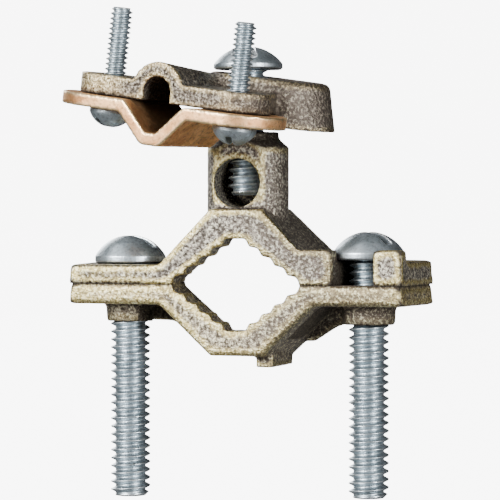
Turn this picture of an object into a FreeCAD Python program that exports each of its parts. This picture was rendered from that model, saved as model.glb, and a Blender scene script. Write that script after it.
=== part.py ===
import FreeCAD, Part
import math
import os
import re
import Sketcher

# Armored cable ground clamp. The origin is the centre of the pipe between the jaws,
# +Y runs along the pipe away from the toothed side and +Z runs up the post.

doc = FreeCAD.newDocument("ArmoredCableGroundClamp")
sheet = doc.addObject("Spreadsheet::Sheet", "Sizes")

JAW_SIZES = {
    "jaw_depth": 14.3,         # along the pipe
    "left_half": 27.85,        # middle to the end of an ear at the toothed side
    "right_half": 27.1,
    "flare": 1.6,              # how much the outside grows towards the plain side
    "crown_flare": 0.7,        # and the crowns' width
    "ear_draft": 0.35,
    "upper_ear": 3.1,
    "slot_ear": 3.85,          # the ear with the slot is thicker
    "lower_ear": 3.3,
    "joint_gap": 0.06,         # the closed jaws almost meet
    "flank_foot": 12.65,       # where a sloping flank meets its ear
    "upper_crown": 11.9,
    "upper_crown_half": 4.2,
    "lower_crown": 11.2,
    "lower_crown_half": 4.25,
    "foot_fillet": 1.6,
    "front_round": 0.8,        # the lower jaw's outer edge at the front
    "grip_half": 10.6,         # half the width of the opening at the joint
    "grip_height": 7.2,
    "grip_flat_half": 1.65,
    "tooth_lean": 0.62,
    "tread_drop": 0.29,
    "rim_depth": 4.7,          # the teeth stand on a rim at the front
    "relief": 2.2,             # the wall is thinner behind the rim
    "lip_top": 5.6,
    "lip_depth": 3.3,
    "lip_foot": 9.9,
    "slot_play": 0.12,         # clearance of the slot each side of the screw
    "slot_skew": 1.7,          # how far the slot bears to the left over the jaw's depth
    "boss_radius": 4.35,
    "boss_taper": 0.15,
    "left_boss_less": 0.4,
    "boss_height": 3.1,
    "web_half": 3.0,           # webs behind the rim join the bosses to the flanks
    "web_reach": 5.6,          # screw axis to where a web starts down
    "web_foot": 11.0,
    "web_root": 4.0,           # from a web's foot into the flank
    "web_drop": 8.8,
    "rear_drop": 0.7,          # the lower crown is deeper at the plain side
    "foot_left": 2.5,
    "foot_width": 2.8,
    "foot_start": 3.2,
    "foot_drop": 1.2,
}

POST_SIZES = {
    "post_radius": 6.5,
    "post_flat": 5.25,         # axis to a flat face
    "post_shoulder": 21.6,
    "neck_radius": 4.9,
    "neck_start": 23.0,
    "post_top": 24.1,
    "wire_hole_radius": 3.8,
    "wire_hole_height": 16.0,
    "wire_hole_left": 0.35,    # the hole is drilled a little off the axis
}

SCREW_SIZES = {
    "screw_spacing": 39.75,
    "screw_radius": 3.175,
    "screw_length": 37.4,
    "head_radius": 5.7,
    "head_height": 4.5,
    "rim_share": 0.25,         # of a head's height, below its dome
    "slot_width": 1.5,
    "slot_depth": 2.0,
    "point": 0.8,              # chamfer at a screw's tip
    "play": 0.25,              # clearance hole over screw radius
    "fit": 0.05,               # running fit of a screw in its thread
    "seat_gap": 0.05,          # under a head
    "seat_play": 0.2,          # round a head in its seat
    "wire_screw_length": 19.9,
    "wire_head_radius": 5.5,
    "wire_head_height": 3.75,
    "small_radius": 1.75,
    "small_length": 15.9,
    "small_head_radius": 3.45,
    "small_head_height": 3.1,
    "small_slot_width": 1.0,
    "small_slot_depth": 1.4,
    "small_point": 0.5,
}

SADDLE_SIZES = {
    "saddle_lift": 33.1,       # height of the saddle's top at the post's axis
    "tilt": 7.4,               # the loose saddle leans to the right
    "swivel": 15.0,            # and is turned a little, clockwise from above
    "hub_height": 7.4,
    "hub_radius": 6.85,
    "heel_top": 6.8,           # axis to the centre of the heel's round end
    "heel_bottom": 8.7,
    "hub_fillet": 1.2,
    "hub_hole_radius": 3.97,
    "deck_drop": 2.1,
    "deck_thickness": 3.2,
    "ear_radius": 5.25,
    "clamp_reach": 14.6,       # post axis to the line of the small screws
    "clamp_offset": 4.2,       # the clamp sits to the left of the post axis
    "small_spacing": 23.3,
    "arch_radius": 4.9,        # at the mouth; it tapers towards the hub
    "arch_back_radius": 3.5,
    "arch_drop": 3.83,         # saddle's top to the axis of the arch
    "arch_start": 4.0,
    "tunnel_radius": 2.5,
    "strap_gap": 0.05,
    "strap_thickness": 2.0,
    "strap_radius": 7.6,       # half its width, and its round ends
    "strap_extra": 0.35,       # its ends are centred a little outside its screws
    "keel_depth": 4.6,
    "keel_half": 0.9,
    "keel_bend": 1.5,
    "keel_shift": 1.15,
}

TOOTH_TREADS = 4
SIZES = {**JAW_SIZES, **POST_SIZES, **SCREW_SIZES, **SADDLE_SIZES}

for row, (alias, value) in enumerate(SIZES.items(), start=1):
    sheet.set("A%d" % row, alias)
    sheet.set("B%d" % row, str(value))
    sheet.setAlias("B%d" % row, alias)
doc.recompute()


def formula(text):
    """Put the sheet's name before each size in a formula."""
    return re.sub(r"[a-z_]+", lambda word: "Sizes." + word[0] if word[0] in SIZES else word[0], text)


def bind(item, **settings):
    """Tie an item's properties to formulas of the sheet's sizes."""
    for prop, text in settings.items():
        item.setExpression(prop.replace("__", "."), formula(text))
    return item


def new_body(label):
    body = doc.addObject("PartDesign::Body", label)
    body.Label = label
    return body


def draw_on(body, name, role, offset):
    """Start a sketch on one of the body's own planes, moved along its normal."""
    sketch = body.newObject("Sketcher::SketchObject", name)
    plane = [item for item in body.Origin.OriginFeatures if item.Role == role][0]
    sketch.AttachmentSupport = (plane, [""])
    sketch.MapMode = "FlatFace"
    bind(sketch, AttachmentOffset__Base__z=offset)
    return sketch


def pin_point(sketch, curve, end, spot, formulas):
    """Hold one point of a sketch at two formulas, its distances from the origin."""
    for kind, start, text in zip(("DistanceX", "DistanceY"), spot, formulas):
        index = sketch.addConstraint(Sketcher.Constraint(kind, -1, 1, curve, end, start))
        sketch.setExpression("Constraints[%d]" % index, formula(text))


def outline(body, name, role, offset, corners):
    """Draw a closed outline of straight lines through corners given as formulas."""
    sketch = draw_on(body, name, role, offset)
    count = len(corners)
    turn = 2 * math.pi / count
    spots = [FreeCAD.Vector(20 * math.cos(turn * i), 20 * math.sin(turn * i), 0) for i in range(count)]
    for i in range(count):
        sketch.addGeometry(Part.LineSegment(spots[i], spots[(i + 1) % count]), False)
    for i in range(count):
        sketch.addConstraint(Sketcher.Constraint("Coincident", i, 2, (i + 1) % count, 1))
    for i, corner in enumerate(corners):
        pin_point(sketch, i, 1, (spots[i].x, spots[i].y), corner)
    return sketch


def obround(body, name, role, offset, left, right, radius, middle="0"):
    """Draw a slot shape: two round ends centred on left and right, joined by lines."""
    sketch = draw_on(body, name, role, offset)
    up = FreeCAD.Vector(0, 0, 1)
    near, far, size = FreeCAD.Vector(-5, 0, 0), FreeCAD.Vector(5, 0, 0), 3
    lift = FreeCAD.Vector(0, size, 0)
    sketch.addGeometry(Part.LineSegment(near - lift, far - lift), False)
    sketch.addGeometry(Part.ArcOfCircle(Part.Circle(far, up, size), -math.pi / 2, math.pi / 2), False)
    sketch.addGeometry(Part.LineSegment(far + lift, near + lift), False)
    sketch.addGeometry(Part.ArcOfCircle(Part.Circle(near, up, size), math.pi / 2, 1.5 * math.pi), False)
    for i in range(4):
        sketch.addConstraint(Sketcher.Constraint("Tangent", i, 2, (i + 1) % 4, 1))
    sketch.addConstraint(Sketcher.Constraint("Equal", 1, 3))
    pin_point(sketch, 1, 3, (far.x, far.y), (right, middle))
    pin_point(sketch, 3, 3, (near.x, near.y), (left, middle))
    index = sketch.addConstraint(Sketcher.Constraint("Radius", 1, size))
    sketch.setExpression("Constraints[%d]" % index, formula(radius))
    return sketch


def loft(body, name, start, end):
    """Join two sketches, in the order that leaves the solid's faces looking outwards."""
    item = body.newObject("PartDesign::AdditiveLoft", name)
    item.Ruled = True
    for first, last in ((start, end), (end, start)):
        item.Profile, item.Sections = first, [last]
        doc.recompute()
        if item.Shape.Orientation == "Forward":
            return item
    raise ValueError(name + " is inside out")


def extrude(body, kind, name, sketch, length, backwards=False):
    """Pad or pocket a sketch. A pocket has to take material away, or it points outwards."""
    doc.recompute()
    before = body.Shape.Volume if kind == "Pocket" else 0
    item = body.newObject("PartDesign::" + kind, name)
    item.Profile = sketch
    item.Reversed = backwards
    bind(item, Length=length)
    doc.recompute()
    if kind == "Pocket" and body.Shape.Volume >= before:
        raise ValueError(name + " cuts nothing")
    return item


def block(body, kind, name, low, high):
    """A box between two corners given as formulas, added or subtracted."""
    item = body.newObject("PartDesign::%sBox" % kind, name)
    for side, axis, start, stop in zip(("Length", "Width", "Height"), "xyz", low, high):
        bind(item, **{side: "(%s) - (%s)" % (stop, start), "Placement__Base__" + axis: start})
    return item


def turned(body, kind, name, place, along=(0, 0, 1), **settings):
    """A cylinder, cone or sphere whose axis starts at a place and runs along a direction."""
    item = body.newObject("PartDesign::" + kind, name)
    item.Placement.Rotation = FreeCAD.Rotation(FreeCAD.Vector(0, 0, 1), FreeCAD.Vector(*along))
    for axis, text in zip("xyz", place):
        bind(item, **{"Placement__Base__" + axis: text})
    return bind(item, **settings)


def round_edges(body, name, radius, wanted):
    """Fillet the edges of the body so far whose middle point and direction are wanted."""
    doc.recompute()
    base = body.Tip
    names = []
    for i, edge in enumerate(body.Shape.Edges, start=1):
        middle = edge.valueAt((edge.FirstParameter + edge.LastParameter) / 2)
        if wanted(edge, middle):
            names.append("Edge%d" % i)
    item = body.newObject("PartDesign::Fillet", name)
    item.Base = (base, names)
    bind(item, Radius=radius)
    return item


def runs_along_pipe(edge):
    ends = [vertex.Point for vertex in edge.Vertexes]
    return len(ends) == 2 and abs(ends[0].y - ends[1].y) > 0.9 * edge.Length


FRONT, REAR = "jaw_depth / 2", "-jaw_depth / 2"
TREAD = "((grip_half - grip_flat_half - %d * tooth_lean) / %d)" % (TOOTH_TREADS + 1, TOOTH_TREADS)
RISER = "((grip_height - %d * tread_drop) / %d)" % (TOOTH_TREADS, TOOTH_TREADS + 1)


def ear_outline(side, half, ear, foot, crown, crown_half, growth, crown_growth):
    """Half of a jaw's outline, from the joint round the ear's end and up the flank."""
    sign = "" if side > 0 else "-"
    drafts = ("0", "ear_draft") if side > 0 else ("ear_draft", "0")
    return [
        ("%s + %s - %s" % (half, growth, drafts[0]), "0" if side > 0 else "-joint_gap"),
        ("%s + %s - %s" % (half, growth, drafts[1]), "%s%s" % (sign, ear)),
        ("%s + %s" % (foot, growth), "%s%s" % (sign, ear)),
        ("%s + %s" % (crown_half, crown_growth), "%s(%s)" % (sign, crown)),
    ]


def jaw_outline(side, ears, feet, crown, crown_half, growth, crown_growth):
    """Outline of a jaw seen along the pipe; side is + for the upper jaw and - for the lower."""
    left = ear_outline(side, "left_half", ears[0], feet[0], crown, crown_half, growth, crown_growth)
    right = ear_outline(side, "right_half", ears[1], feet[1], crown, crown_half, growth, crown_growth)
    return right + [("-(%s)" % across, up) for across, up in reversed(left)]


def grip_outline(side):
    """The toothed opening: from the joint up one flank, over the flat and down the other."""
    sign = "" if side > 0 else "-"
    right = [("grip_flat_half", "%sgrip_height" % sign)]
    for step in range(TOOTH_TREADS + 1):
        across = "grip_flat_half + %d * tooth_lean + %d * %s" % (step + 1, step, TREAD)
        down = "grip_height - %d * %s - %d * tread_drop" % (step + 1, RISER, step)
        right.append((across, "%s(%s)" % (sign, down)))
        if step < TOOTH_TREADS:
            right.append((across + " + " + TREAD, "%s(%s - tread_drop)" % (sign, down)))
    right.append(("grip_half", "%s(-joint_gap - 1)" % sign))
    left = [("-(%s)" % across, up) for across, up in reversed(right)]
    return right + left


def relief_outline(side):
    """The plain hollow behind the toothed rim."""
    sign = "" if side > 0 else "-"
    right = [
        ("grip_half + relief", "%s(-joint_gap - 1)" % sign),
        ("grip_half + relief", "%s0.6" % sign),
        ("grip_flat_half + relief / 2", "%s(grip_height + relief)" % sign),
    ]
    left = [("-(%s)" % across, up) for across, up in reversed(right)]
    return right + left


def jaw_shell(body, side, ears, feet, crown, crown_half, rear_crown):
    """The flared jaw, with its flanks rounded into its ears."""
    front = outline(body, body.Label + "_front", "XZ_Plane", FRONT,
                    jaw_outline(side, ears, feet, crown, crown_half, "0", "0"))
    rear = outline(body, body.Label + "_rear", "XZ_Plane", REAR,
                   jaw_outline(side, ears, feet, rear_crown, crown_half, "flare", "crown_flare"))
    loft(body, body.Label + "_shell", front, rear)
    ear_end = SIZES["left_half"] - 2
    crown_end = (SIZES["flank_foot"] + SIZES[crown_half]) / 2

    def at_foot(edge, middle):
        return runs_along_pipe(edge) and crown_end < abs(middle.x) < ear_end and abs(middle.z) > 1

    round_edges(body, body.Label + "_feet", "foot_fillet", at_foot)


def cut_grip(body, side):
    """The toothed opening at the front and the hollow behind it."""
    teeth = outline(body, body.Label + "_teeth", "XZ_Plane", FRONT, grip_outline(side))
    extrude(body, "Pocket", body.Label + "_grip", teeth, "rim_depth")
    hollow = outline(body, body.Label + "_hollow", "XZ_Plane", REAR, relief_outline(side))
    extrude(body, "Pocket", body.Label + "_relief", hollow, "jaw_depth - rim_depth", backwards=True)


def make_upper_jaw():
    body = new_body("upper_jaw")
    slope = "(flank_foot - upper_crown_half) / (upper_crown - upper_ear)"
    slot_foot = "flank_foot - (slot_ear - upper_ear) * " + slope
    jaw_shell(body, 1, ("upper_ear", "slot_ear"), ("flank_foot", slot_foot),
              "upper_crown", "upper_crown_half", "upper_crown")
    slot_left = "screw_spacing / 2 - screw_radius - slot_play"
    slot_right = "screw_spacing / 2 + screw_radius + slot_play"
    lip_back = "lip_depth - jaw_depth / 2"
    block(body, "Additive", "lips", ("lip_foot", REAR, "upper_ear / 2"), ("right_half", lip_back, "lip_top"))
    turned(body, "AdditiveCylinder", "post", ("0", "0", "upper_crown - post_radius + upper_crown_half"),
           Radius="post_radius", Height="post_shoulder - upper_crown + post_radius - upper_crown_half")
    turned(body, "AdditiveCone", "shoulder", ("0", "0", "post_shoulder"),
           Radius1="post_radius", Radius2="neck_radius", Height="neck_start - post_shoulder")
    turned(body, "AdditiveCylinder", "neck", ("0", "0", "neck_start"),
           Radius="neck_radius", Height="post_top - neck_start")
    block(body, "Subtractive", "front_flat", ("-2 * post_radius", "-2 * post_radius", "upper_crown"),
          ("2 * post_radius", "-post_flat", "post_top + 1"))
    block(body, "Subtractive", "back_flat", ("-2 * post_radius", "post_flat", "upper_crown"),
          ("2 * post_radius", "2 * post_radius", "post_top + 1"))
    cut_grip(body, 1)
    turned(body, "SubtractiveCylinder", "wire_hole",
           ("-wire_hole_left", "-2 * post_radius", "wire_hole_height"),
           along=(0, 1, 0), Radius="wire_hole_radius", Height="4 * post_radius")
    turned(body, "SubtractiveCylinder", "wire_screw_thread", ("0", "0", "wire_hole_height"),
           Radius="screw_radius + fit", Height="post_top")
    turned(body, "SubtractiveCylinder", "left_hole", ("-screw_spacing / 2", "0", "-1"),
           Radius="screw_radius + play", Height="upper_crown")
    turned(body, "SubtractiveCylinder", "slot_end", ("screw_spacing / 2", "0", "-1"),
           Radius="screw_radius + slot_play", Height="upper_crown")
    turned(body, "SubtractiveCylinder", "head_seat", ("screw_spacing / 2", "0", "slot_ear"),
           Radius="head_radius + seat_play", Height="head_height")
    slot = outline(body, "slot_plan", "XY_Plane", "-1", [
        (slot_left, "0"),
        (slot_left + " - slot_skew", "-jaw_depth"),
        (slot_right + " - slot_skew", "-jaw_depth"),
        (slot_right, "0"),
    ])
    extrude(body, "Pocket", "slot", slot, "upper_crown", backwards=True)
    return body


def make_lower_jaw():
    body = new_body("lower_jaw")
    jaw_shell(body, -1, ("lower_ear", "lower_ear"), ("flank_foot", "flank_foot"),
              "lower_crown", "lower_crown_half", "lower_crown + rear_drop")
    front = -SIZES["jaw_depth"] / 2
    under_ear = -SIZES["lower_ear"] - 0.1

    def outer_front(edge, middle):
        return abs(middle.y - front) < 0.001 and middle.z < under_ear

    round_edges(body, "lower_jaw_front_edge", "front_round", outer_front)
    for name, side, radius in (("left", "-", "boss_radius - left_boss_less"), ("right", "", "boss_radius")):
        turned(body, "AdditiveCone", name + "_boss", (side + "screw_spacing / 2", "0", "-lower_ear + 0.5"),
               along=(0, 0, -1), Radius1=radius, Radius2=radius + " - boss_taper",
               Height="boss_height + 0.5")
        boss_foot = "0.15 - lower_ear - boss_height"
        web = outline(body, name + "_web_side", "XZ_Plane", "0", [
            (side + "screw_spacing / 2", "-lower_ear / 2"),
            (side + "screw_spacing / 2", boss_foot),
            (side + "(screw_spacing / 2 - web_reach)", boss_foot),
            (side + "web_foot", "-web_drop"),
            (side + "(web_foot - web_root)", "-web_drop"),
            (side + "(web_foot - web_root)", "-lower_ear / 2"),
        ])
        pad = extrude(body, "Pad", name + "_web", web, "2 * web_half")
        pad.Midplane = True
    block(body, "Additive", "foot",
          ("foot_left", "foot_start - jaw_depth / 2", "-lower_crown - rear_drop - foot_drop"),
          ("foot_left + foot_width", "jaw_depth / 2", "1 - lower_crown"))
    cut_grip(body, -1)
    for name, side in (("left", "-"), ("right", "")):
        turned(body, "SubtractiveCylinder", name + "_thread", (side + "screw_spacing / 2", "0", "1"),
               along=(0, 0, -1), Radius="screw_radius + fit", Height="lower_ear + boss_height + 2")
    return body


def make_screw(label, length, radius, point, head_radius, head_height, slot_width, slot_depth):
    """A round-head screw that hangs from its head: z is 0 under the head, the tip is below."""
    body = new_body(label)
    rise = "(%s * (1 - rim_share))" % head_height
    dome = "((%s ^ 2 + %s ^ 2) / (2 * %s))" % (head_radius, rise, rise)
    turned(body, "AdditiveCylinder", label + "_rim", ("0", "0", "0"),
           Radius=head_radius, Height=head_height + " * rim_share")
    turned(body, "AdditiveSphere", label + "_head", ("0", "0", "%s - %s" % (head_height, dome)),
           Radius=dome, Angle1="asin((%s - %s) / %s)" % (dome, rise, dome))
    turned(body, "AdditiveCylinder", label + "_shank", ("0", "0", "%s - %s" % (point, length)),
           Radius=radius, Height="%s - %s + %s / 2" % (length, point, head_height))
    turned(body, "AdditiveCone", label + "_point", ("0", "0", "-(%s)" % length),
           Radius1="%s - %s" % (radius, point), Radius2=radius, Height=point)
    block(body, "Subtractive", label + "_slot", ("-(%s) / 2" % slot_width, "-2 * %s" % head_radius,
                                                 "%s - %s" % (head_height, slot_depth)),
          ("%s / 2" % slot_width, "2 * %s" % head_radius, "2 * %s" % head_height))
    return body


def make_saddle():
    """Hub round the wire screw, a deck out to the two ears, and the arch over the armor."""
    body = new_body("cable_saddle")
    bottom = obround(body, "hub_bottom", "XY_Plane", "-hub_height", "0", "heel_bottom", "hub_radius")
    top = obround(body, "hub_top", "XY_Plane", "0", "0", "heel_top", "hub_radius")
    loft(body, "hub", bottom, top)

    def on_top(edge, middle):
        return abs(middle.z) < 0.001

    round_edges(body, "hub_edge", "hub_fillet", on_top)
    left, right = "-clamp_offset - small_spacing / 2", "-clamp_offset + small_spacing / 2"
    deck = outline(body, "deck_plan", "XY_Plane", "-deck_drop - deck_thickness", [
        (left, "-clamp_reach - ear_radius"),
        (right, "-clamp_reach - ear_radius"),
        (right + " + ear_radius", "-clamp_reach"),
        ("hub_radius", "0"),
        ("-hub_radius", "0"),
        (left + " - ear_radius", "-clamp_reach"),
    ])
    extrude(body, "Pad", "deck", deck, "deck_thickness")
    for name, across in (("left", left), ("right", right)):
        turned(body, "AdditiveCylinder", name + "_ear",
               (across, "-clamp_reach", "-deck_drop - deck_thickness"),
               Radius="ear_radius", Height="deck_thickness")
    arch = turned(body, "AdditiveCone", "arch", ("-clamp_offset", "-arch_start", "-arch_drop"),
                  along=(0, -1, 0), Radius1="arch_back_radius", Radius2="arch_radius",
                  Height="clamp_reach + ear_radius - arch_start")
    arch.Angle = 180
    turned(body, "SubtractiveCylinder", "tunnel", ("-clamp_offset", "-hub_radius", "-arch_drop"),
           along=(0, -1, 0), Radius="tunnel_radius", Height="clamp_reach + ear_radius")
    block(body, "Subtractive", "tunnel_mouth",
          ("-clamp_offset - tunnel_radius", "-2 * clamp_reach", "-2 * hub_height"),
          ("-clamp_offset + tunnel_radius", "-hub_radius", "-arch_drop"))
    turned(body, "SubtractiveCylinder", "hub_hole", ("0", "0", "-2 * hub_height"),
           Radius="hub_hole_radius", Height="4 * hub_height")
    for name, across in (("left", left), ("right", right)):
        turned(body, "SubtractiveCylinder", name + "_ear_thread",
               (across, "-clamp_reach", "-2 * hub_height"),
               Radius="small_radius + fit", Height="4 * hub_height")
    return body


def make_strap():
    """A strip bent into a V under the arch, cut to round ends and drilled for its screws."""
    bent = new_body("strap_strip")
    reach = "(small_spacing / 2 + strap_extra + strap_radius)"
    flank = "(keel_depth + keel_half)"
    shift = "(strap_thickness * tan(22.5))"
    right = [
        (reach, "0"),
        (flank, "0"),
        ("keel_half", "-keel_depth"),
    ]
    under = [
        ("keel_half + " + shift, "-keel_depth - strap_thickness"),
        (flank + " + " + shift, "-strap_thickness"),
        (reach, "-strap_thickness"),
    ]
    right = [("%s + keel_shift" % x if x != reach else x, z) for x, z in right]
    under = [("%s + keel_shift" % x if x != reach else x, z) for x, z in under]
    mirrored = [
        ("-(keel_half) + keel_shift", "-keel_depth"),
        ("-%s + keel_shift" % flank, "0"),
        ("-%s" % reach, "0"),
        ("-%s" % reach, "-strap_thickness"),
        ("-%s - %s + keel_shift" % (flank, shift), "-strap_thickness"),
        ("-keel_half - %s + keel_shift" % shift, "-keel_depth - strap_thickness"),
    ]
    section = outline(bent, "strap_section", "XZ_Plane", "0", right + mirrored + under)
    pad = extrude(bent, "Pad", "strap_pad", section, "2 * strap_radius")
    pad.Midplane = True
    inner, outer = SIZES["keel_bend"], SIZES["keel_bend"] + SIZES["strap_thickness"]
    end = SIZES["small_spacing"] / 2
    keel_top = -SIZES["keel_depth"]
    thick = SIZES["strap_thickness"]

    def tight(edge, middle):
        bends = abs(middle.z - keel_top) < 0.01 or abs(middle.z + thick) < 0.01
        return runs_along_pipe(edge) and bends and abs(middle.x) < end

    def wide(edge, middle):
        bends = abs(middle.z - keel_top + thick) < 0.01 or abs(middle.z) < 0.01
        return runs_along_pipe(edge) and bends and abs(middle.x) < end

    round_edges(bent, "inside_bends", "keel_bend / 2", tight)
    round_edges(bent, "outside_bends", "keel_bend", wide)
    blank = new_body("strap_blank")
    plan = obround(blank, "strap_plan", "XY_Plane", "-2 * hub_height",
                   "-small_spacing / 2 - strap_extra", "small_spacing / 2 + strap_extra", "strap_radius")
    extrude(blank, "Pad", "strap_blank_pad", plan, "3 * hub_height")
    for name, side in (("left", "-"), ("right", "")):
        turned(blank, "SubtractiveCylinder", name + "_strap_hole",
               (side + "small_spacing / 2", "0", "-4 * hub_height"),
               Radius="small_radius + 2 * fit", Height="8 * hub_height")
    strap = doc.addObject("Part::Common", "cable_strap")
    strap.Label = "cable_strap"
    strap.Base = bent
    strap.Tool = blank
    return strap


def size(name):
    return float(sheet.get(name))


def on_saddle(x, y, z):
    """Where a point of the saddle's own frame lies on the loose, turned and tilted saddle."""
    return SADDLE_PLACE.multVec(FreeCAD.Vector(x, y, z))


turn_right = FreeCAD.Rotation(FreeCAD.Vector(0, 0, 1), -size("swivel"))
lean_right = FreeCAD.Rotation(FreeCAD.Vector(0, 1, 0), size("tilt"))
saddle_turn = turn_right.multiply(lean_right)
hub_middle = saddle_turn.multVec(FreeCAD.Vector(0, 0, -size("hub_height") / 2))
saddle_base = FreeCAD.Vector(-hub_middle.x, -hub_middle.y, size("saddle_lift"))
SADDLE_PLACE = FreeCAD.Placement(saddle_base, saddle_turn)

upper_jaw = make_upper_jaw()
lower_jaw = make_lower_jaw()
parts = [upper_jaw, lower_jaw]

# Clamp screws hang from the upper jaw's ears. Their slots stand as they were left.
clamp_slots = {"left": 80, "right": 60}
for name, side in (("left", -1), ("right", 1)):
    screw = make_screw(name + "_clamp_screw", "screw_length", "screw_radius", "point",
                       "head_radius", "head_height", "slot_width", "slot_depth")
    ear = size("upper_ear") if side < 0 else size("slot_ear")
    seat = FreeCAD.Vector(side * size("screw_spacing") / 2, 0, ear + size("seat_gap"))
    screw.Placement = FreeCAD.Placement(seat, FreeCAD.Rotation(FreeCAD.Vector(0, 0, 1), clamp_slots[name]))
    parts.append(screw)

# The wire screw's head touches the high side of the leaning saddle.
wire_screw = make_screw("wire_screw", "wire_screw_length", "screw_radius", "point",
                        "wire_head_radius", "wire_head_height", "slot_width", "slot_depth")
head_edge = size("wire_head_radius")
lean = math.tan(math.radians(size("tilt")))
hub_shift = hub_middle.Length * math.sin(math.radians(size("tilt")))
head_seat = size("saddle_lift") + (head_edge + hub_shift) * lean
wire_screw.Placement = FreeCAD.Placement(FreeCAD.Vector(0, 0, head_seat + size("seat_gap")),
                                         FreeCAD.Rotation(FreeCAD.Vector(0, 0, 1), 25))
parts.append(wire_screw)

saddle = make_saddle()
saddle.Placement = SADDLE_PLACE
parts.append(saddle)

strap = make_strap()
strap_top = -size("deck_drop") - size("deck_thickness") - size("strap_gap")
strap_middle = on_saddle(-size("clamp_offset"), -size("clamp_reach"), strap_top)
strap.Placement = FreeCAD.Placement(strap_middle, saddle_turn)
parts.append(strap)

# Strap screws point up through the strap into the saddle's ears, heads below.
small_slots = {"left": 20, "right": -15}
head_down = FreeCAD.Rotation(FreeCAD.Vector(1, 0, 0), 180)
for name, side in (("left", -1), ("right", 1)):
    screw = make_screw(name + "_strap_screw", "small_length", "small_radius", "small_point",
                       "small_head_radius", "small_head_height", "small_slot_width", "small_slot_depth")
    across = -size("clamp_offset") + side * size("small_spacing") / 2
    under_strap = strap_top - size("strap_thickness") - size("seat_gap")
    slot_turn = FreeCAD.Rotation(FreeCAD.Vector(0, 0, 1), small_slots[name])
    screw.Placement = FreeCAD.Placement(on_saddle(across, -size("clamp_reach"), under_strap),
                                        saddle_turn.multiply(head_down).multiply(slot_turn))
    parts.append(screw)

doc.recompute()
for item in doc.Objects:
    if "Invalid" in item.State or "Error" in item.State:
        raise ValueError("%s is not built: %s" % (item.Label, item.State))

os.makedirs("parts", exist_ok=True)
for item in parts:
    if item.Shape.isNull() or not item.Shape.isValid() or len(item.Shape.Solids) != 1:
        raise ValueError("%s is not one valid solid" % item.Label)
    item.Shape.exportStep("parts/%s.step" % item.Label)
    box = item.Shape.BoundBox
    print("%-20s %8.1f mm3  x %6.1f %6.1f  y %6.1f %6.1f  z %6.1f %6.1f"
          % (item.Label, item.Shape.Volume, box.XMin, box.XMax, box.YMin, box.YMax, box.ZMin, box.ZMax))
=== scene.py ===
import bmesh
import bpy
import math
import numpy as np
from mathutils import Matrix, Vector, noise
from mathutils.bvhtree import BVHTree


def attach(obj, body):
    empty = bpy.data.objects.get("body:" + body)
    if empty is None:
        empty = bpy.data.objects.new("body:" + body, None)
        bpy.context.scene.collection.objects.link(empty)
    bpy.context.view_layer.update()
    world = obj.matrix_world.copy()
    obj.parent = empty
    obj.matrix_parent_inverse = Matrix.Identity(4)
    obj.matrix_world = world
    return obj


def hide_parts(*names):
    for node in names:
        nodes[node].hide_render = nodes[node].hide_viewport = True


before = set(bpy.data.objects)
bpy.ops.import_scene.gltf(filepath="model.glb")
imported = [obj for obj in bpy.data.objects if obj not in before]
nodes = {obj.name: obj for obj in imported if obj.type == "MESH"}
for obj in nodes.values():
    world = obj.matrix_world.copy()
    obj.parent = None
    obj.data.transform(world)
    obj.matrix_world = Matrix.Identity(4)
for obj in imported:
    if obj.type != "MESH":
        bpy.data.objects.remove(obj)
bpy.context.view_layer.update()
mm = 0.001
print("frame loaded:", len(nodes), "nodes")


# Camera, floor and light

cameraSetup = {
    "place": (148.59 * mm, -466.92 * mm, 15.6 * mm),  # 490 mm from the post, a little right of the front
    "heading": 17.62,     # degrees the camera looks to the left of +Y
    "drop": 1.2,          # degrees below level
    "lens": 222.1,
    "sensor": 36,
    "nearest": 20 * mm,
}

cameraData = bpy.data.cameras.new("camera")
cameraData.lens = cameraSetup["lens"]
cameraData.sensor_width = cameraSetup["sensor"]
cameraData.clip_start = cameraSetup["nearest"]
camera = bpy.data.objects.new("camera", cameraData)
camera.location = cameraSetup["place"]
camera.rotation_euler = (math.radians(90 - cameraSetup["drop"]), 0, math.radians(cameraSetup["heading"]))
bpy.context.collection.objects.link(camera)
bpy.context.scene.camera = camera

studio = {
    "floorHeight": -42.0 * mm,         # under the lower jaw when it is open
    "floorSize": 6,                    # metres
    "floorColor": (0.16, 0.16, 0.16),
    "floorRoughness": 0.9,
    "floorGlow": 8.0,                  # seen by the camera only, like the backdrop
    "backdropStrength": 8.0,
    "worldColor": (1.0, 1.0, 1.0),
    "worldStrength": (0.06, 0.42),     # away from and towards the bright side of the room
    "worldFade": (-0.3, 0.9),          # cosines to the bright side, where the one turns into the other
    "brightSide": (-0.40, -0.72, 0.57),
    "lightTarget": (0, 0, 0),
    "lights": {
        "keyLight": {"place": (-0.33, -0.56, 0.25), "size": (0.30, 0.30), "power": 10.0},
        "rightLight": {"place": (0.55, -0.36, 0.12), "size": (0.12, 0.34), "power": 6.0},
        "topLight": {"place": (-0.25, -0.05, 0.60), "size": (0.30, 0.30), "power": 0.8},
        "backLight": {"place": (-0.50, 0.60, 0.25), "size": (0.30, 0.30), "power": 3.0},
    },
}


def addFloor():
    bpy.ops.mesh.primitive_plane_add(size=studio["floorSize"], location=(0, 0, studio["floorHeight"]))
    floor = bpy.context.object
    floor.name = "floor"
    material = bpy.data.materials.new("paleFloor")
    material.use_nodes = True
    shader = material.node_tree.nodes["Principled BSDF"]
    shader.inputs["Base Color"].default_value = (*studio["floorColor"], 1)
    shader.inputs["Roughness"].default_value = studio["floorRoughness"]
    shader.inputs["Emission Color"].default_value = (*studio["worldColor"], 1)
    path = material.node_tree.nodes.new("ShaderNodeLightPath")
    glow = material.node_tree.nodes.new("ShaderNodeMath")
    glow.operation = "MULTIPLY"
    glow.inputs[1].default_value = studio["floorGlow"]
    material.node_tree.links.new(path.outputs["Is Camera Ray"], glow.inputs[0])
    material.node_tree.links.new(glow.outputs[0], shader.inputs["Emission Strength"])
    floor.data.materials.append(material)


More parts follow.
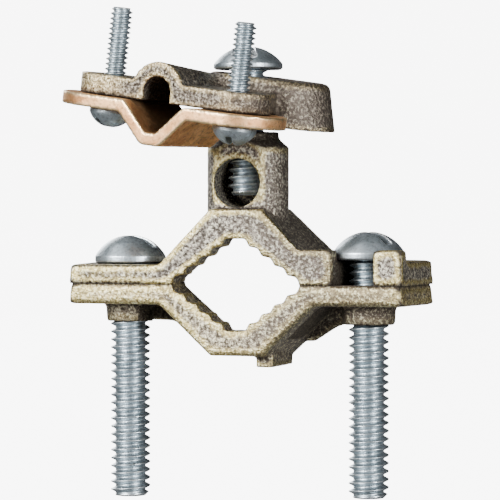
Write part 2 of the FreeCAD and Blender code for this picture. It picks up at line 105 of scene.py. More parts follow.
def addLight(name, settings):
    data = bpy.data.lights.new(name, "AREA")
    data.shape = "RECTANGLE"
    data.size, data.size_y = settings["size"]
    data.energy = settings["power"]
    light = bpy.data.objects.new(name, data)
    light.location = settings["place"]
    aim = Vector(studio["lightTarget"]) - Vector(settings["place"])
    light.rotation_euler = aim.to_track_quat("-Z", "Y").to_euler()
    bpy.context.collection.objects.link(light)


def addWorld():
    world = bpy.data.worlds.new("studio")
    world.use_nodes = True
    tree = world.node_tree
    light = tree.nodes["Background"]
    light.inputs["Color"].default_value = (*studio["worldColor"], 1)
    direction = tree.nodes.new("ShaderNodeTexCoord")
    toward = tree.nodes.new("ShaderNodeVectorMath")
    toward.operation = "DOT_PRODUCT"
    toward.inputs[1].default_value = studio["brightSide"]
    tree.links.new(direction.outputs["Generated"], toward.inputs[0])
    fade = tree.nodes.new("ShaderNodeMapRange")
    fade.interpolation_type = "SMOOTHSTEP"
    for index, value in enumerate((*studio["worldFade"], *studio["worldStrength"]), start=1):
        fade.inputs[index].default_value = value
    tree.links.new(toward.outputs["Value"], fade.inputs[0])
    tree.links.new(fade.outputs[0], light.inputs["Strength"])
    backdrop = tree.nodes.new("ShaderNodeBackground")
    backdrop.inputs["Color"].default_value = (*studio["worldColor"], 1)
    backdrop.inputs["Strength"].default_value = studio["backdropStrength"]
    path = tree.nodes.new("ShaderNodeLightPath")
    either = tree.nodes.new("ShaderNodeMixShader")
    tree.links.new(path.outputs["Is Camera Ray"], either.inputs["Fac"])
    tree.links.new(light.outputs[0], either.inputs[1])
    tree.links.new(backdrop.outputs[0], either.inputs[2])
    tree.links.new(either.outputs[0], tree.nodes["World Output"].inputs["Surface"])
    bpy.context.scene.world = world


addWorld()
addFloor()
for lightName, lightSettings in studio["lights"].items():
    addLight(lightName, lightSettings)
print("camera and studio set")


# Shader groups that the materials share

def newGroup(name, inputs, outputs):
    group = bpy.data.node_groups.new(name, "ShaderNodeTree")
    for label, value in inputs.items():
        socket = group.interface.new_socket(label, in_out="INPUT", socket_type="NodeSocketFloat")
        socket.default_value = value
    for label in outputs:
        group.interface.new_socket(label, in_out="OUTPUT", socket_type="NodeSocketFloat")
    return group, group.nodes.new("NodeGroupInput"), group.nodes.new("NodeGroupOutput")


def addNode(tree, kind, feeds, **settings):  # feeds: input to a value or another node's output
    node = tree.nodes.new(kind)
    for key, value in settings.items():
        setattr(node, key, value)
    for key, value in feeds.items():
        if isinstance(value, bpy.types.NodeSocket):
            tree.links.new(value, node.inputs[key])
        else:
            node.inputs[key].default_value = value
    return node


def mixColors(tree, amount, first, second):
    return addNode(tree, "ShaderNodeMix", {0: amount, 6: first, 7: second}, data_type="RGBA").outputs[2]


def mapRange(tree, value, low, high, newLow=0.0, newHigh=1.0):
    return addNode(tree, "ShaderNodeMapRange", {0: value, 1: low, 2: high, 3: newLow, 4: newHigh}).outputs[0]


def calc(tree, operation, first, second):
    return addNode(tree, "ShaderNodeMath", {0: first, 1: second}, operation=operation).outputs[0]


def times(tree, first, second):
    return calc(tree, "MULTIPLY", first, second)


def greatest(tree, *values):
    result = values[0]
    for value in values[1:]:
        result = calc(tree, "MAXIMUM", result, value)
    return result


def objectPlace(tree):
    return addNode(tree, "ShaderNodeTexCoord", {}).outputs["Object"]


def markOf(tree, label):  # a value that the mesh holds at each point
    return addNode(tree, "ShaderNodeAttribute", {}, attribute_name=label).outputs["Fac"]


def noiseOf(tree, place, scale, detail, roughness):
    feeds = {"Vector": place, "Scale": scale, "Detail": detail, "Roughness": roughness}
    return addNode(tree, "ShaderNodeTexNoise", feeds).outputs["Fac"]


grainShape = {
    "coarse": (1.5, 0.5),          # detail and roughness of each noise
    "fine": (2.0, 0.6),
    "patch": (4.0, 0.6),
    "fineTimes": 2.3,              # as many fine grains for each coarse one
    "hollow": (0.49, 0.40),        # heights where a hollow starts and is full
    "top": (0.51, 0.60),
    "patchEdge": (0.40, 0.62),
}


def makeGrainGroup():
    group, entry, leave = newGroup(
        "castGrain", {"Grains per metre": 2450.0, "Fine share": 0.35, "Patches per metre": 160.0},
        ("Height", "Hollow", "Top", "Patch"))
    place = objectPlace(group)
    grains = entry.outputs["Grains per metre"]
    coarse = noiseOf(group, place, grains, *grainShape["coarse"])
    fine = noiseOf(group, place, times(group, grains, grainShape["fineTimes"]), *grainShape["fine"])
    mixed = {0: entry.outputs["Fine share"], 2: coarse, 3: fine}
    height = addNode(group, "ShaderNodeMix", mixed).outputs[0]
    patches = noiseOf(group, place, entry.outputs["Patches per metre"], *grainShape["patch"])
    group.links.new(height, leave.inputs["Height"])
    group.links.new(mapRange(group, height, *grainShape["hollow"]), leave.inputs["Hollow"])
    group.links.new(mapRange(group, height, *grainShape["top"]), leave.inputs["Top"])
    group.links.new(mapRange(group, patches, *grainShape["patchEdge"]), leave.inputs["Patch"])
    return group


wearShape = {
    "breaks": (700.0, 4.0, 0.65),  # scale, detail and roughness of the noise that breaks up a worn edge
    "noiseMiddle": 0.5,
    "shelterBreaks": 0.3,          # share of that noise in the sheltered spots
    "shelter": (0.25, 0.70),       # hidden share of the sky where the painted shade starts and is full
}


def makeWearGroup():
    group, entry, leave = newGroup("edgeWear", {"Start": 0.15, "End": 0.6, "Ragged": 0.35},
                                   ("Edge", "Recess", "Polish", "Shelter"))
    crest, polish = markOf(group, "crest"), markOf(group, "polish")
    breaks = noiseOf(group, objectPlace(group), *wearShape["breaks"])
    breaks = calc(group, "SUBTRACT", breaks, wearShape["noiseMiddle"])
    breaks = times(group, breaks, entry.outputs["Ragged"])
    # Recess: painted shade in corners and thread roots, where the crest mark is below zero
    for sign, source, label in ((1, crest, "Edge"), (-1, crest, "Recess"), (1, polish, "Polish")):
        ragged = calc(group, "ADD", times(group, source, sign), breaks)
        worn = mapRange(group, ragged, entry.outputs["Start"], entry.outputs["End"])
        group.links.new(worn, leave.inputs[label])
    # Shelter: painted shade where the solids hide the sky, broken up by the noise
    uneven = calc(group, "ADD", markOf(group, "shelter"), times(group, breaks, wearShape["shelterBreaks"]))
    group.links.new(mapRange(group, uneven, *wearShape["shelter"]), leave.inputs["Shelter"])
    return group


grainGroup = makeGrainGroup()
wearGroup = makeWearGroup()


def useGroup(tree, group, values):
    node = tree.nodes.new("ShaderNodeGroup")
    node.node_tree = group
    for key, value in values.items():
        node.inputs[key].default_value = value
    return node


def startMetal(name, look):
    material = bpy.data.materials.new(name)
    material.use_nodes = True
    tree = material.node_tree
    shader = tree.nodes["Principled BSDF"]
    shader.inputs["Metallic"].default_value = 1.0
    grain = useGroup(tree, grainGroup, look["grain"])
    bump = addNode(tree, "ShaderNodeBump", {"Height": grain.outputs["Height"], "Strength": look["bump"],
                                            "Distance": look["bumpDepth"]})
    tree.links.new(bump.outputs[0], shader.inputs["Normal"])
    return material, tree, shader, grain


def finishMetal(tree, shader, look, color, worn, grimeAndShade):  # smoother where worn; darker and rougher under grime and painted shade
    tree.links.new(mixColors(tree, grimeAndShade, color, look["grimeAndShade"]), shader.inputs["Base Color"])
    smooth, coarse = look["roughness"]
    rough = mapRange(tree, worn, 0.0, 1.0, coarse, smooth)
    rough = calc(tree, "ADD", rough, times(tree, grimeAndShade, look["grimeAndShadeRoughness"]))
    tree.links.new(rough, shader.inputs["Roughness"])


castLook = {
    "grain": {"Grains per metre": 2450.0, "Fine share": 0.35, "Patches per metre": 160.0},
    "ragged": 0.9,
    "bump": 1.0,
    "bumpDepth": 0.30 * mm,
    # the colour that corners and covered spots darken towards, as painted shade
    "grimeAndShade": (0.046, 0.037, 0.028, 1),
    "recessShade": 0.6,
    "shelterShade": 0.85,
    "goldHollow": 0.6,                 # dark of the hollows within the worn gold
    "brightWear": 0.8,
    "roughness": (0.36, 0.50),         # polished and untouched
    "grimeAndShadeRoughness": 0.25,
}

# a darker colour towards the right of the middle
rightDarkening = {
    "grows": (-3.0 * mm, 8.0 * mm),    # darker to the right of the middle, up to the lug
    "amount": 0.70,
    "onTops": 0.35,                    # what is left of it on the grains' tops
    "color": (0.135, 0.112, 0.092, 1),
}

castTones = {
    "upperBronze": {
        "skin": (0.30, 0.268, 0.225, 1), "skinDark": (0.17, 0.150, 0.128, 1),
        "hollow": (0.072, 0.062, 0.052, 1), "top": (0.66, 0.62, 0.50, 1),
        "polished": (0.66, 0.53, 0.22, 1), "polishedTop": (0.98, 0.90, 0.54, 1),
        "wear": (0.34, 0.72), "darkeningEnds": (17.0 * mm, 22.5 * mm),
    },
    "lowerBronze": {
        "skin": (0.40, 0.34, 0.25, 1), "skinDark": (0.23, 0.195, 0.150, 1),
        "hollow": (0.085, 0.072, 0.054, 1), "top": (0.84, 0.77, 0.55, 1),
        "polished": (0.70, 0.56, 0.24, 1), "polishedTop": (0.98, 0.90, 0.55, 1),
        "wear": (0.20, 0.62), "darkeningEnds": (24.0 * mm, 28.0 * mm),
    },
    "saddleBronze": {
        "skin": (0.165, 0.142, 0.116, 1), "skinDark": (0.098, 0.083, 0.066, 1),
        "hollow": (0.046, 0.038, 0.030, 1), "top": (0.44, 0.39, 0.31, 1),
        "polished": (0.52, 0.40, 0.21, 1), "polishedTop": (0.90, 0.77, 0.47, 1),
        "wear": (0.55, 1.10), "bright": (-14.5 * mm, -18.0 * mm),
    },
}


def rightDarkeningOf(tree, tone, across, tops):
    amount = rightDarkening["amount"]
    if "darkeningEnds" in tone:
        amount = mapRange(tree, across, *tone["darkeningEnds"], amount, 0.0)
    dark = times(tree, mapRange(tree, across, *rightDarkening["grows"]), amount)
    return times(tree, dark, mapRange(tree, tops, 0.0, 1.0, 1.0, rightDarkening["onTops"]))


def makeCastMaterial(name, tone):
    material, tree, shader, grain = startMetal(name, castLook)
    start, end = tone["wear"]
    wear = useGroup(tree, wearGroup, {"Start": start, "End": end, "Ragged": castLook["ragged"]})
    patch, hollow, top = [grain.outputs[label] for label in ("Patch", "Hollow", "Top")]
    skin = mixColors(tree, patch, tone["skinDark"], tone["skin"])
    skin = mixColors(tree, hollow, skin, tone["hollow"])
    skin = mixColors(tree, top, skin, tone["top"])
    gold = mixColors(tree, top, tone["polished"], tone["polishedTop"])
    gold = mixColors(tree, times(tree, hollow, castLook["goldHollow"]), gold, tone["hollow"])
    across = addNode(tree, "ShaderNodeSeparateXYZ", {0: objectPlace(tree)}).outputs[0]
    worn = greatest(tree, wear.outputs["Edge"], wear.outputs["Polish"])
    if "bright" in tone:  # the end that is worn all over
        worn = greatest(tree, worn, mapRange(tree, across, *tone["bright"], 0.0, castLook["brightWear"]))
    # no gold polish under the painted shade
    worn = times(tree, worn, calc(tree, "SUBTRACT", 1.0, wear.outputs["Shelter"]))
    color = mixColors(tree, worn, skin, gold)
    color = mixColors(tree, rightDarkeningOf(tree, tone, across, top), color, rightDarkening["color"])
    # painted shade in corners and where the solids hide the sky
    grimeAndShade = greatest(tree, times(tree, wear.outputs["Recess"], castLook["recessShade"]),
                     times(tree, wear.outputs["Shelter"], castLook["shelterShade"]))
    finishMetal(tree, shader, castLook, color, worn, grimeAndShade)
    return material


copperLook = {
    "grain": {"Grains per metre": 1500.0, "Fine share": 0.5, "Patches per metre": 260.0},
    "wear": {"Start": 0.2, "End": 0.8, "Ragged": 0.7},
    "bump": 0.45,
    "bumpDepth": 0.10 * mm,
    "bright": (0.95, 0.57, 0.28, 1),
    "dull": (0.56, 0.28, 0.12, 1),
    "worn": (1.0, 0.76, 0.44, 1),
    # the colour that grain hollows darken towards as grime, and corners and covered spots as painted shade
    "grimeAndShade": (0.06, 0.034, 0.02, 1),
    "hollowGrime": 0.35,
    "recessShade": 0.7,
    "shelterShade": 0.8,
    "roughness": (0.30, 0.46),
    "grimeAndShadeRoughness": 0.25,
}

zincLook = {
    "grain": {"Grains per metre": 1900.0, "Fine share": 0.4, "Patches per metre": 420.0},
    "wear": {"Start": 0.25, "End": 0.9, "Ragged": 0.4},
    "bump": 0.35,
    "bumpDepth": 0.08 * mm,
    "bright": (0.56, 0.635, 0.68, 1),
    "dull": (0.36, 0.42, 0.455, 1),
    "worn": (0.82, 0.88, 0.92, 1),
    # the colour that grain hollows darken towards as grime, and corners and covered spots as painted shade
    "grimeAndShade": (0.035, 0.037, 0.04, 1),
    "hollowGrime": 0.3,
    "recessShade": 0.8,
    "shelterShade": 0.6,
    "roughness": (0.20, 0.40),
    "grimeAndShadeRoughness": 0.2,
}


def makeSmoothMetal(name, look):  # rolled copper and plated steel
    material, tree, shader, grain = startMetal(name, look)
    wear = useGroup(tree, wearGroup, look["wear"])
    color = mixColors(tree, grain.outputs["Patch"], look["dull"], look["bright"])
    color = mixColors(tree, wear.outputs["Edge"], color, look["worn"])
    # grime in the grain's hollows; painted shade in corners and where the solids hide the sky
    grimeAndShade = greatest(tree, times(tree, grain.outputs["Hollow"], look["hollowGrime"]),
                     times(tree, wear.outputs["Recess"], look["recessShade"]),
                     times(tree, wear.outputs["Shelter"], look["shelterShade"]))
    finishMetal(tree, shader, look, color, wear.outputs["Edge"], grimeAndShade)
    return material


castMaterials = {toneName: makeCastMaterial(toneName, tone) for toneName, tone in castTones.items()}
copperStrip = makeSmoothMetal("copperStrip", copperLook)
zincSteel = makeSmoothMetal("zincSteel", zincLook)
print("materials made")


# Mesh helpers

weldDistance = 1e-6     # metres


def newPiece(name, mesh, material):
    piece = bpy.data.objects.new(name, mesh)
    mesh.materials.clear()
    mesh.materials.append(material)
    bpy.context.collection.objects.link(piece)
    return piece


def meshFrom(work, name):  # ends the bmesh
    mesh = bpy.data.meshes.new(name)
    work.to_mesh(mesh)
    work.free()
    return mesh


def welded(node):
    work = bmesh.new()
    work.from_mesh(node.data)
    bmesh.ops.remove_doubles(work, verts=work.verts, dist=weldDistance)
    return meshFrom(work, node.name)


def remesh(piece, voxel, rounds, factor=0.5):  # one even skin, its edges softened
    grid = piece.modifiers.new("grid", "REMESH")
    grid.mode = "VOXEL"
    grid.voxel_size = voxel
    soften = piece.modifiers.new("soften", "SMOOTH")
    soften.factor = factor
    soften.iterations = rounds
    settled = piece.evaluated_get(bpy.context.evaluated_depsgraph_get())
    mesh = bpy.data.meshes.new_from_object(settled)
    piece.modifiers.clear()
    piece.data = mesh


def meshArrays(mesh):
    places = np.empty(len(mesh.vertices) * 3)
    mesh.vertices.foreach_get("co", places)
    normals = np.empty(len(mesh.vertices) * 3)
    mesh.vertex_normals.foreach_get("vector", normals)
    edges = np.empty(len(mesh.edges) * 2, dtype=np.int64)
    mesh.edges.foreach_get("vertices", edges)
    return places.reshape(-1, 3), normals.reshape(-1, 3), edges.reshape(-1, 2)


def spread(values, edges, rounds):  # each point takes half its value from its neighbours, again and again
    first, second = edges[:, 0], edges[:, 1]
    count = np.maximum(np.bincount(edges.ravel(), minlength=len(values)), 1)[:, None]
    for _ in range(rounds):
        total = np.stack([np.bincount(first, values[second, i], len(values)) +
                          np.bincount(second, values[first, i], len(values))
                          for i in range(values.shape[1])], axis=1)
        values = 0.5 * values + 0.5 * total / count
    return values


def setMark(mesh, label, values):
    mark = mesh.attributes.new(label, "FLOAT", "POINT")
    mark.data.foreach_set("value", values.astype(np.float32))


def roundEars(mesh, span, rounds):  # rounder corners away from the teeth
    places, _, edges = meshArrays(mesh)
    share = np.clip((np.abs(places[:, 0]) - span[0]) / (span[1] - span[0]), 0, 1)[:, None]
    places += share * (spread(places, edges, rounds) - places)
    mesh.vertices.foreach_set("co", places.ravel())
    mesh.update()


def markEdges(mesh, label, rounds, reach):  # 1 on outer edges, -1 in corners and thread roots
    places, normals, edges = meshArrays(mesh)
    rise = ((places - spread(places, edges, rounds)) * normals).sum(axis=1) / reach
    setMark(mesh, label, spread(np.clip(rise, -1, 1)[:, None], edges, 1)[:, 0])


shelterTest = {
    "rays": 14,           # from each point of the skin
    "seed": 7,
    "reach": 9.0 * mm,
    "lift": 0.12,         # millimetres from the skin to where a ray starts
    "outward": 1.02,      # over 1, so that no ray leaves into the skin
    "spreadRounds": 6,
}


def markShelter(mesh, solids, shadeZones=()):  # how much of the sky over a point the solids hide; the materials paint this as shade
    places, normals, edges = meshArrays(mesh)
    chance = np.random.default_rng(shelterTest["seed"])
    hidden = np.zeros(len(places))
    for _ in range(shelterTest["rays"]):
        aims = chance.normal(size=places.shape)
        aims /= np.linalg.norm(aims, axis=1)[:, None]
        aims = aims + normals * shelterTest["outward"]
        aims /= np.linalg.norm(aims, axis=1)[:, None]
        for index, (place, aim) in enumerate(zip(places + normals * shelterTest["lift"] * mm, aims)):
            if solids.ray_cast(Vector(place), Vector(aim), shelterTest["reach"])[0] is not None:
                hidden[index] += 1.0 / shelterTest["rays"]
    hidden = spread(hidden[:, None], edges, shelterTest["spreadRounds"])[:, 0]
    for low, high, least, most in shadeZones:  # boxes where the painted shade is held between two values
        inside = ((places > np.array(low) * mm) & (places < np.array(high) * mm)).all(axis=1)
        hidden[inside] = np.clip(hidden[inside], least, most)
    setMark(mesh, "shelter", hidden)


def roughen(mesh, waves, joint=None):  # presses the surface in by noise of a size, depth and seed
    places, normals, _ = meshArrays(mesh)
    sink = np.zeros(len(places))
    contrast = 1.6
    for size, depth, seed in waves:
        shift = Vector((seed, seed * 0.7, -seed))
        values = np.array([noise.noise(Vector(place) / size + shift) for place in places])
        sink += depth * (0.5 + 0.5 * np.clip(values * contrast, -1, 1))
    places = places - normals * sink[:, None]
    if joint:  # faces that lie at the joint between the jaws end flat, and it stays closed
        atJoint = (np.abs(places[:, 2]) < joint["band"]) & (np.abs(normals[:, 2]) > joint["slope"])
        places[atJoint, 2] = np.sign(places[atJoint, 2]) * joint["gap"] / 2
    mesh.vertices.foreach_set("co", places.ravel())
    mesh.update()


def dress(piece, node):
    body = node  # each solid is a body of its own
    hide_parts(node)
    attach(piece, body)
    piece.data.polygons.foreach_set("use_smooth", [True] * len(piece.data.polygons))


# Castings and strap: the solids' own shapes with soft edges and a cast skin

castings = {
    "voxel": 0.26 * mm,
    "rounds": 4,
    "ears": (13.0 * mm, 16.5 * mm),     # from the middle
    "earRounds": 12,
    "waves": ((1.5 * mm, 0.035 * mm, 3.1), (0.7 * mm, 0.03 * mm, 8.3)),
    "crest": (10, 0.10 * mm),           # rounds and reach of the search for edges
    "polish": (60, 0.22 * mm),
    # boxes where the painted shade is held between a least and a most
    "joint": {"gap": 0.03 * mm, "band": 0.36 * mm, "slope": 0.35},
    "shadeZones": (
        ((-4.3, -5.0, 12.1), (3.6, 3.6, 19.9), 0.0, 0.22),          # little painted shade inside the wire hole
        ((-25.0, -4.6, -6.6), (-15.4, 4.6, -3.5), 0.50, 0.72),      # the bosses
        ((15.4, -4.6, -6.6), (25.0, 4.6, -3.5), 0.50, 0.72),
        ((9.0, 5.2, -10.0), (16.5, 6.0, -3.4), 0.42, 0.46),         # painted shade held even on the rib towards the front
    ),
    "pieces": {
        "upperCasting": {"node": "upper_jaw", "tone": "upperBronze"},
        "lowerCasting": {"node": "lower_jaw", "tone": "lowerBronze"},
        "saddleCasting": {"node": "cable_saddle", "tone": "saddleBronze"},
    },
}

lowerRibs = {
    "bosses": {-1: 3.95, 1: 4.35},      # radius at the ear, by side
    "bossTaper": 0.15,
    "bossAway": 19.875,
    "bossFoot": -6.4,
    "bossSunk": 0.5,                    # into the ear
    "threadRadius": 3.225,
    "threadTop": 1,
    "threadLength": -9,
    "middle": (-3.1, 3.1),              # the solid's webs stand here; the photo's ribs are at the plain side
    "webLine": ((19.875, -6.7), (13.5, -9.9)),     # just under the webs
    "webFoot": -9.9,
    "earKept": (0.6, 0.45),             # what stays in the corner of ear and flank, out and down
    "rear": (5.5, 7.05),
    "ribLine": ((19.9, -6.2), (15.0, -6.35), (12.9, -7.0), (9.2, -9.35)),
    "ribSunk": 1.0,                     # into the flank
    "ear": -3.3,
    "depth": 14.3,
    "frontFlank": ((12.65, -3.3), (4.25, -11.2)),
    "rearFlank": ((14.25, -3.3), (4.95, -11.9)),
}

wireHole = {
    "radius": 3.95,
    "left": 0.35,
    "height": 16.0,
    "backWall": (3.2, 4.1),             # closes the hole near the post's back
}


def prism(outlines):  # a closed block between two outlines of equal count, points in millimetres
    work = bmesh.new()
    rings = [[work.verts.new([value * mm for value in point]) for point in outline] for outline in outlines]
    count = len(rings[0])
    for index in range(count):
        after = (index + 1) % count
        work.faces.new((rings[0][index], rings[0][after], rings[1][after], rings[1][index]))
    work.faces.new(rings[0])
    work.faces.new(rings[1])
    bmesh.ops.triangulate(work, faces=work.faces)
    bmesh.ops.recalc_face_normals(work, faces=work.faces)
    return meshFrom(work, "block")


def roundBlock(place, along, radii, length, sides=48):  # a cylinder or cone from place along z or y
    rings = []
    for radius, step in zip(radii, (0.0, length)):
        ring = []
        for index in range(sides):
            angle = 2 * math.pi * index / sides
            across = (radius * math.cos(angle), radius * math.sin(angle))
            offset = (across[0], across[1], step) if along == "z" else (across[0], step, across[1])
            ring.append([start + move for start, move in zip(place, offset)])
        rings.append(ring)
    return prism(rings)


def cutAway(mesh, block):
    piece, other = [bpy.data.objects.new("block", one) for one in (mesh, block)]
    for one in (piece, other):
        bpy.context.collection.objects.link(one)
    cut = piece.modifiers.new("cut", "BOOLEAN")
    cut.operation = "DIFFERENCE"
    cut.solver = "EXACT"
    cut.object = other
    settled = piece.evaluated_get(bpy.context.evaluated_depsgraph_get())
    rest = bpy.data.meshes.new_from_object(settled)
    for one in (piece, other):
        bpy.data.objects.remove(one)
    return rest


def joined(name, meshes):  # closed blocks in one mesh; where they overlap, a remesh makes one skin of them
    work = bmesh.new()
    for mesh in meshes:
        work.from_mesh(mesh)
    return meshFrom(work, name)


def onFlank(y, z):  # half-width of the lower jaw's flank at a depth and height
    share = (y + lowerRibs["depth"] / 2) / lowerRibs["depth"]
    foot, crown = [tuple(a + (b - a) * share for a, b in zip(front, rear))
                   for front, rear in zip(lowerRibs["frontFlank"], lowerRibs["rearFlank"])]
    return foot[0] + (crown[0] - foot[0]) * (z - foot[1]) / (crown[1] - foot[1])


def webCut(side):  # all that the solid has between the ear, the boss and the flank
    ear, foot, away = lowerRibs["ear"], lowerRibs["webFoot"], lowerRibs["bossAway"]
    out, down = lowerRibs["earKept"]
    outlines = []
    for y in lowerRibs["middle"]:
        outline = ((onFlank(y, ear) + out, ear), (away, ear), *lowerRibs["webLine"],
                   (onFlank(y, foot), foot), (onFlank(y, ear - down), ear - down))
        outlines.append([(side * x, y, z) for x, z in outline])
    return prism(outlines)


def bossOf(side):
    place = (side * lowerRibs["bossAway"], 0, lowerRibs["ear"] + lowerRibs["bossSunk"])
    radius = lowerRibs["bosses"][side]
    boss = roundBlock(place, "z", (radius, radius - lowerRibs["bossTaper"]),
                      lowerRibs["bossFoot"] - lowerRibs["ear"] - lowerRibs["bossSunk"])
    top = (side * lowerRibs["bossAway"], 0, lowerRibs["threadTop"])
    return cutAway(boss, roundBlock(top, "z", (lowerRibs["threadRadius"],) * 2, lowerRibs["threadLength"]))


def ribOf(side):
    ear, sunk = lowerRibs["ear"], lowerRibs["ribSunk"]
    start, end = lowerRibs["ribLine"][0][0], lowerRibs["ribLine"][-1][1]
    top = ear + lowerRibs["bossSunk"]
    outlines = []
    for y in lowerRibs["rear"]:
        outline = (*lowerRibs["ribLine"], (onFlank(y, end) - sunk, end),
                   (onFlank(y, ear) - sunk, top), (start, top))
        outlines.append([(side * x, y, z) for x, z in outline])
    return prism(outlines)


def moveRibs(mesh):
    added = []
    for side in lowerRibs["bosses"]:
        mesh = cutAway(mesh, webCut(side))
        added += [bossOf(side), ribOf(side)]
    return joined("lowerShape", [mesh, *added])


def closeHole(mesh):
    front, back = wireHole["backWall"]
    place = (-wireHole["left"], front, wireHole["height"])
    return joined("upperShape", [mesh, roundBlock(place, "y", (wireHole["radius"],) * 2, back - front)])


def treeOfSolids():
    work = bmesh.new()
    for node in nodes.values():
        work.from_mesh(node.data)
    tree = BVHTree.FromBMesh(work)
    work.free()
    return tree


solidTree = treeOfSolids()

for pieceName, settings in castings["pieces"].items():
    shape = welded(nodes[settings["node"]])
    joint = castings["joint"]
    if pieceName == "lowerCasting":
        shape = moveRibs(shape)
    elif pieceName == "upperCasting":
        shape = closeHole(shape)
    else:
        joint = None
    casting = newPiece(pieceName, shape, castMaterials[settings["tone"]])
    remesh(casting, castings["voxel"], castings["rounds"])
    if joint:
        roundEars(casting.data, castings["ears"], castings["earRounds"])
    markEdges(casting.data, "crest", *castings["crest"])
    markEdges(casting.data, "polish", *castings["polish"])
    markShelter(casting.data, solidTree, castings["shadeZones"])
    roughen(casting.data, castings["waves"], joint)
    dress(casting, settings["node"])
    print(pieceName, "made,", len(casting.data.polygons), "faces")

strapSetup = {
    "voxel": 0.22 * mm,
    "rounds": 5,
    "waves": ((3.0 * mm, 0.05 * mm, 5.7),),
    "crest": (8, 0.09 * mm),
}

strap = newPiece("copperStrap", welded(nodes["cable_strap"]), copperStrip)
remesh(strap, strapSetup["voxel"], strapSetup["rounds"])
markEdges(strap.data, "crest", *strapSetup["crest"])
markShelter(strap.data, solidTree)
roughen(strap.data, strapSetup["waves"])
dress(strap, "cable_strap")
print("copper strap made")


# Screws

saddlePose = {
    "swivel": 15.0,       # degrees clockwise from above
    "tilt": 7.4,          # degrees down to the right
    "lift": 33.1 * mm,
    "hubHeight": 7.4 * mm,
}


def onSaddle(x, y, z):
    turn = Matrix.Rotation(math.radians(-saddlePose["swivel"]), 4, "Z")
    turn = turn @ Matrix.Rotation(math.radians(saddlePose["tilt"]), 4, "Y")
    middle = turn @ Vector((0, 0, -saddlePose["hubHeight"] / 2))
    base = Matrix.Translation((-middle.x, -middle.y, saddlePose["lift"])) @ turn
    return base @ Matrix.Translation((x, y, z))


upsideDown = Matrix.Rotation(math.pi, 4, "X")

screwShapes = {  # in millimetres
    "clamp": {"length": 37.4, "radius": 3.175, "pitch": 1.27, "point": 0.8,
              "headRadius": 5.7, "headHeight": 4.5, "slotWidth": 1.5, "slotDepth": 2.0, "voxel": 0.14},
    "wire": {"length": 19.9, "radius": 3.175, "pitch": 1.27, "point": 0.8,
             "headRadius": 5.5, "headHeight": 3.75, "slotWidth": 1.5, "slotDepth": 2.0, "voxel": 0.14},
    "small": {"length": 15.9, "radius": 1.75, "pitch": 0.79375, "point": 0.5,
              "headRadius": 3.45, "headHeight": 3.1, "slotWidth": 1.0, "slotDepth": 1.4, "voxel": 0.10},
}

screws = {  # slotTurn in degrees, place of the face under the head
    "leftClampScrew": {"node": "left_clamp_screw", "shape": "clamp", "slotTurn": 80,
                       "place": Matrix.Translation((-19.875 * mm, 0, 3.15 * mm))},
    "rightClampScrew": {"node": "right_clamp_screw", "shape": "clamp", "slotTurn": 60,
                        "place": Matrix.Translation((19.875 * mm, 0, 3.9 * mm))},
    "wireScrew": {"node": "wire_screw", "shape": "wire", "slotTurn": 25,
                  "place": Matrix.Translation((0, 0, 33.93 * mm))},
    "leftStrapScrew": {"node": "left_strap_screw", "shape": "small", "slotTurn": 20,
                       "place": onSaddle(-15.85 * mm, -14.6 * mm, -7.4 * mm) @ upsideDown},
    "rightStrapScrew": {"node": "right_strap_screw", "shape": "small", "slotTurn": -15,
                        "place": onSaddle(7.45 * mm, -14.6 * mm, -7.4 * mm) @ upsideDown},
}

threadRidge = {
    "columns": 44,
    "depth": 0.6134,      # of the pitch
    "intoHead": 0.4,
    "weld": 1e-7,         # metres
    # place within one pitch and share of the thread's depth
    "rows": ((0.0, 1.0), (0.06, 0.97), (0.14, 0.74), (0.30, 0.22), (0.38, 0.04), (0.5, 0.0),
             (0.62, 0.04), (0.70, 0.22), (0.86, 0.74), (0.94, 0.97)),
}

headShape = {
    "domeShare": 0.75,    # of the head's height
    "rim": (0.3, 0.25),   # bevel under the head, across and up
    "domeSteps": 12,
    "sides": 56,
    "rounds": 2,
    "slotFade": 0.5,      # the painted shade in the slot is full from this depth on
    "slotBeside": 0.12,
    "slotBelow": 0.3,
}

screwSkin = {
    "threadRounds": 4,
    "threadReach": 0.12,  # of the pitch
    "headCrest": (8, 0.06 * mm),
    "headWaves": ((2.2 * mm, 0.04 * mm, 2.9),),
}


def ridgeRadius(phase, shape):
    depth = threadRidge["depth"] * shape["pitch"]
    spots = [spot for spot, _ in threadRidge["rows"]] + [1.0]
    shares = [share for _, share in threadRidge["rows"]] + [1.0]
    return shape["radius"] - depth * (1 - np.interp(phase % 1.0, spots, shares))


def threadedShank(work, shape):  # rows follow the helix from under the head, z 0, down to the tip
    columns = threadRidge["columns"]
    pitch, length = shape["pitch"], shape["length"]
    turns = int(length / pitch) + 2
    levels = sorted((-turn + spot) * pitch for turn in range(turns + 1) for spot, _ in threadRidge["rows"])
    rings = []
    for level in levels:
        ring = []
        for column in range(columns + 1):
            share = column / columns
            z = min(max(level + share * pitch, -length), threadRidge["intoHead"])
            radius = ridgeRadius(z / pitch - share, shape)
            radius = min(radius, shape["radius"] - shape["point"] + (z + length))
            angle = 2 * math.pi * share
            place = (radius * math.cos(angle), radius * math.sin(angle), z)
            ring.append(work.verts.new([value * mm for value in place]))
        rings.append(ring)
    for low, high in zip(rings, rings[1:]):
        for column in range(columns):
            corners = (low[column], low[column + 1], high[column + 1], high[column])
            heights = [corner.co.z for corner in corners]
            if max(heights) - min(heights) > threadRidge["weld"]:
                work.faces.new(corners)
    bottom = [work.verts.new(vert.co) for vert in rings[0][:-1]]
    work.faces.new(reversed(bottom))
    bmesh.ops.remove_doubles(work, verts=work.verts, dist=threadRidge["weld"])


def domeOf(shape):  # the head's rise over its rim, and the radius of its round
    rise = shape["headHeight"] * headShape["domeShare"]
    return rise, (shape["headRadius"] ** 2 + rise ** 2) / (2 * rise)


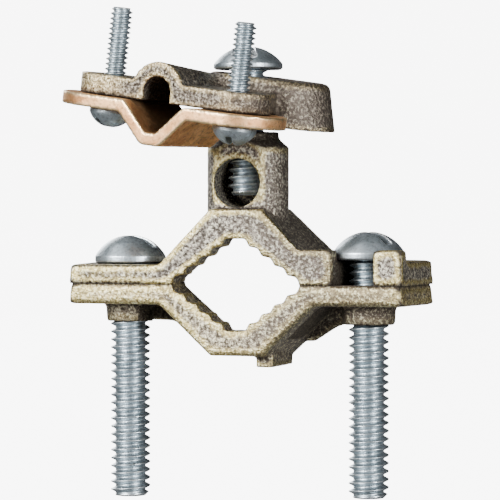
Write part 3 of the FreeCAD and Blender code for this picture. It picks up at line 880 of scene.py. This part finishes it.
def domeBlock(shape):
    radius, height = shape["headRadius"], shape["headHeight"]
    rise, dome = domeOf(shape)
    across, up = headShape["rim"]
    profile = [(0.0, 0.0), (radius - across, 0.0), (radius, up), (radius, height - rise)]
    low = math.asin((dome - rise) / dome)
    for step in range(1, headShape["domeSteps"] + 1):
        angle = low + (math.pi / 2 - low) * step / headShape["domeSteps"]
        profile.append((dome * math.cos(angle), height - dome + dome * math.sin(angle)))
    work = bmesh.new()
    verts = [work.verts.new((x * mm, 0, z * mm)) for x, z in profile]
    edges = [work.edges.new(pair) for pair in zip(verts, verts[1:])]
    bmesh.ops.spin(work, geom=verts + edges, cent=(0, 0, 0), axis=(0, 0, 1), angle=2 * math.pi,
                   steps=headShape["sides"])
    bmesh.ops.remove_doubles(work, verts=work.verts, dist=weldDistance)
    bmesh.ops.recalc_face_normals(work, faces=work.faces)
    return meshFrom(work, "head")


def slotBlock(shape):
    height = shape["headHeight"]
    work = bmesh.new()
    bmesh.ops.create_cube(work, size=1.0)
    size = (shape["slotWidth"] * mm, 3 * shape["headRadius"] * mm, 2 * height * mm)
    bmesh.ops.scale(work, verts=work.verts, vec=size)
    bmesh.ops.translate(work, verts=work.verts, vec=(0, 0, (2 * height - shape["slotDepth"]) * mm))
    return meshFrom(work, "slot")


def screwHead(shape):  # a closed dome with its slot, softened
    head = bpy.data.objects.new("head", domeBlock(shape))
    slot = bpy.data.objects.new("slot", slotBlock(shape))
    for one in (head, slot):
        bpy.context.collection.objects.link(one)
    cut = head.modifiers.new("slot", "BOOLEAN")
    cut.operation = "DIFFERENCE"
    cut.object = slot
    remesh(head, shape["voxel"] * mm, headShape["rounds"])
    finished = head.data
    markSlot(finished, shape)
    for one in (head, slot):
        bpy.data.objects.remove(one)
    return finished


def markSlot(mesh, shape):  # painted shade inside a head's slot
    places = meshArrays(mesh)[0] / mm
    _, dome = domeOf(shape)
    across = places[:, 0] ** 2 + places[:, 1] ** 2
    surface = shape["headHeight"] - dome + np.sqrt(np.maximum(dome ** 2 - across, 0))
    deep = np.clip((surface - places[:, 2]) / headShape["slotFade"], 0, 1)
    deep *= np.abs(places[:, 0]) < shape["slotWidth"] / 2 + headShape["slotBeside"]
    deep *= places[:, 2] > shape["headHeight"] - shape["slotDepth"] - headShape["slotBelow"]
    # the slot's painted shade goes into the shelter mark
    setMark(mesh, "shelter", deep)


def makeScrew(name, settings):
    shape = screwShapes[settings["shape"]]
    work = bmesh.new()
    threadedShank(work, shape)
    shank = meshFrom(work, "shank")
    markEdges(shank, "crest", screwSkin["threadRounds"], screwSkin["threadReach"] * shape["pitch"] * mm)
    shank.attributes.new("shelter", "FLOAT", "POINT")
    head = screwHead(shape)
    markEdges(head, "crest", *screwSkin["headCrest"])
    roughen(head, screwSkin["headWaves"])
    whole = joined(name, (shank, head))
    whole.transform(settings["place"] @ Matrix.Rotation(math.radians(settings["slotTurn"]), 4, "Z"))
    screw = newPiece(name, whole, zincSteel)
    dress(screw, settings["node"])
    print(name, "made,", len(screw.data.polygons), "faces")


for screwName, screwSettings in screws.items():
    makeScrew(screwName, screwSettings)
